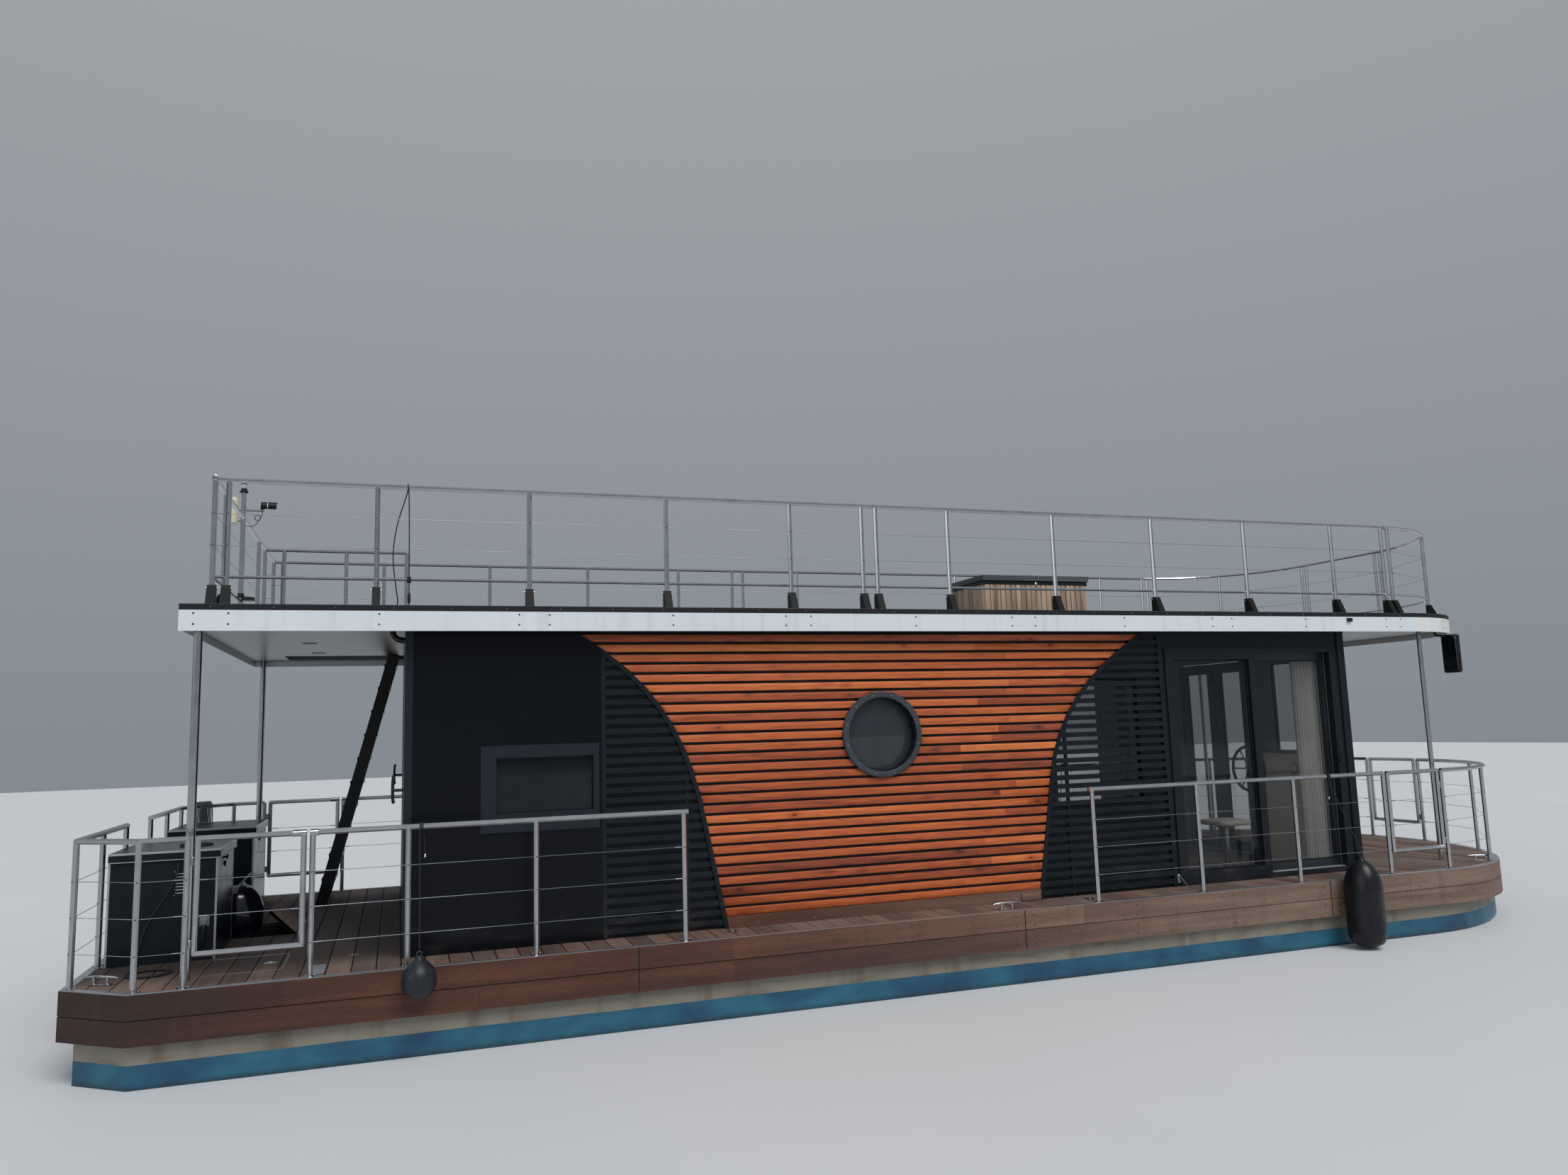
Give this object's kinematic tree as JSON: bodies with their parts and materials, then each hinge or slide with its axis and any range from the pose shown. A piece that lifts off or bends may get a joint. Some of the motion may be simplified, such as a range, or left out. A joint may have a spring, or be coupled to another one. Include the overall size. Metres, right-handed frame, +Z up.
{
  "type": "houseboat on two pontoons with a full-length cabin, a roof terrace and a tilting outboard motor",
  "caption": "Flat-decked pontoon houseboat with a timber-clad cabin, sliding side doors, railed roof terrace, stern stair and an outboard motor tilted up in its stern well.",
  "frame": {"origin": "centre of the overall box in plan, on the underside of the pontoons; the waterline is 0.5 m above it", "axes": "+X to the bow, +Y to port, +Z up"},
  "size_m": [14.5495, 5.506, 5.06],
  "materials": {
    "hull_paint": "matt grey, blue antifouling below the waterline",
    "deck_boards": "brown composite boards",
    "edge_boards": "red-brown composite boards",
    "cabin_paint": "satin anthracite",
    "cladding_boards": "oiled boards",
    "roof_covering": "dark roof skin",
    "fascia_paint": "satin white",
    "stainless": "polished stainless tube",
    "locker_paint": "satin dark grey",
    "black_metal": "satin black",
    "motor_paint": "gloss dark blue",
    "box_slats": "weathered slats",
    "cream_finish": "satin cream",
    "fender_skin": "matt black"
  },
  "bodies": {
    "hull": {"pontoon_starboard": "hull_paint", "pontoon_port": "hull_paint", "deck_platform": "deck_boards", "skirt_bow": "edge_boards", "skirt_starboard": "edge_boards", "skirt_port": "edge_boards", "cabin_wall_starboard": "cabin_paint", "cabin_wall_port": "cabin_paint", "timber_cladding_starboard": "cladding_boards", "timber_cladding_port": "cladding_boards", "cabin_wall_aft": "cabin_paint", "cabin_wall_bow": "cabin_paint", "roof_slab": "roof_covering", "roof_fascia_starboard": "fascia_paint", "roof_fascia_port": "fascia_paint", "roof_post_aft_starboard": "stainless", "roof_post_aft_port": "stainless", "roof_post_bow_starboard": "stainless", "roof_post_bow_port": "stainless", "deck_rail_aft_starboard": "stainless", "deck_rail_aft_port": "stainless", "deck_rail_fore_starboard": "stainless", "deck_rail_fore_port": "stainless", "deck_rail_stern_starboard": "stainless", "deck_rail_stern_port": "stainless", "deck_rail_bow_starboard": "stainless", "deck_rail_bow_port": "stainless", "terrace_rail_starboard": "stainless", "terrace_rail_port": "stainless", "terrace_rail_bow": "stainless", "terrace_rail_aft": "stainless", "stair": "black_metal", "locker_starboard": "locker_paint", "locker_port": "locker_paint", "motor_bracket": "black_metal", "roof_box": "box_slats", "helm_console": "cream_finish", "helm_stool": "cream_finish", "fender_round": "fender_skin", "fender_long": "fender_skin", "fender_far": "fender_skin", "mirror": "black_metal"},
    "sliding_door_starboard": {"sliding_door_starboard": "cabin_paint"},
    "sliding_door_port": {"sliding_door_port": "cabin_paint"},
    "aft_door": {"aft_door": "cabin_paint"},
    "bow_door_starboard": {"bow_door_starboard": "cabin_paint"},
    "bow_door_port": {"bow_door_port": "cabin_paint"},
    "gate_aft_starboard": {"gate_aft_starboard": "stainless"},
    "gate_aft_port": {"gate_aft_port": "stainless"},
    "gate_fore_starboard": {"gate_fore_starboard": "stainless"},
    "gate_fore_port": {"gate_fore_port": "stainless"},
    "gate_bow": {"gate_bow": "stainless"},
    "locker_lid_starboard": {"locker_lid_starboard": "locker_paint"},
    "locker_lid_port": {"locker_lid_port": "locker_paint"},
    "well_flap": {"well_flap": "deck_boards"},
    "motor_swivel": {"motor_swivel": "black_metal"},
    "motor": {"motor": "motor_paint"},
    "propeller": {"propeller": "black_metal"},
    "roof_box_lid": {"roof_box_lid": "roof_covering"},
    "helm_wheel": {"helm_wheel": "black_metal"}
  },
  "joints": [
    {"name": "slide_door_starboard", "type": "slide", "parent": "hull", "child": "sliding_door_starboard", "axis": [-1, 0, 0], "range_m": [0, 0.94]},
    {"name": "slide_door_port", "type": "slide", "parent": "hull", "child": "sliding_door_port", "axis": [-1, 0, 0], "range_m": [0, 0.94]},
    {"name": "swing_aft_door", "type": "hinge", "parent": "hull", "child": "aft_door", "pos_m": [-4.984, -0.417, 1.16], "axis": [0, 0, 1], "range_deg": [0, 100]},
    {"name": "swing_bow_door_starboard", "type": "hinge", "parent": "hull", "child": "bow_door_starboard", "pos_m": [4.475, -0.594, 1.16], "axis": [0, 0, -1], "range_deg": [0, 100]},
    {"name": "swing_bow_door_port", "type": "hinge", "parent": "hull", "child": "bow_door_port", "pos_m": [4.475, 0.594, 1.16], "axis": [0, 0, 1], "range_deg": [0, 100]},
    {"name": "swing_gate_aft_starboard", "type": "hinge", "parent": "hull", "child": "gate_aft_starboard", "pos_m": [-6.3705, -2.329, 1.35], "axis": [0, 0, 1], "range_deg": [0, 90]},
    {"name": "swing_gate_aft_port", "type": "hinge", "parent": "hull", "child": "gate_aft_port", "pos_m": [-6.3705, 2.329, 1.35], "axis": [0, 0, -1], "range_deg": [0, 70]},
    {"name": "swing_gate_fore_starboard", "type": "hinge", "parent": "hull", "child": "gate_fore_starboard", "pos_m": [5.2125, -2.329, 1.35], "axis": [0, 0, -1], "range_deg": [0, 90]},
    {"name": "swing_gate_fore_port", "type": "hinge", "parent": "hull", "child": "gate_fore_port", "pos_m": [5.2125, 2.329, 1.35], "axis": [0, 0, 1], "range_deg": [0, 90]},
    {"name": "swing_gate_bow", "type": "hinge", "parent": "hull", "child": "gate_bow", "pos_m": [7.1536, -0.3595, 1.35], "axis": [0, 0, 1], "range_deg": [0, 90]},
    {"name": "lift_locker_lid_starboard", "type": "hinge", "parent": "hull", "child": "locker_lid_starboard", "pos_m": [-7.1, -0.8445, 1.955], "axis": [0, -1, 0], "range_deg": [0, 65]},
    {"name": "lift_locker_lid_port", "type": "hinge", "parent": "hull", "child": "locker_lid_port", "pos_m": [-7.1, 1.5205, 1.955], "axis": [0, -1, 0], "range_deg": [0, 65]},
    {"name": "lift_well_flap", "type": "hinge", "parent": "hull", "child": "well_flap", "pos_m": [-5.84, 0, 1.13], "axis": [0, 1, 0], "range_deg": [-45, 45]},
    {"name": "tilt_motor", "type": "hinge", "parent": "hull", "child": "motor_swivel", "pos_m": [-6.5, 0, 1], "axis": [0, 1, 0], "range_deg": [-63, 0]},
    {"name": "steer_motor", "type": "hinge", "parent": "motor_swivel", "child": "motor", "pos_m": [-6.55448, 0, 1.10692], "axis": [0.891, 0, 0.454], "range_deg": [-30, 30]},
    {"name": "turn_propeller", "type": "hinge", "parent": "motor", "child": "propeller", "pos_m": [-7.2389, 0, 1.12856], "axis": [0.454, 0, -0.891], "continuous": true},
    {"name": "lift_roof_box_lid", "type": "hinge", "parent": "hull", "child": "roof_box_lid", "pos_m": [1.75, 0.395, 4.33], "axis": [-1, 0, 0], "range_deg": [0, 80]},
    {"name": "turn_helm_wheel", "type": "hinge", "parent": "hull", "child": "helm_wheel", "pos_m": [3.85, -1.122, 2.17], "axis": [1, 0, 0], "range_deg": [-540, 540]}
  ],
  "couplings": [
    {"joint": "steer_motor", "follows": "turn_helm_wheel", "ratio": 0.055556}
  ]
}
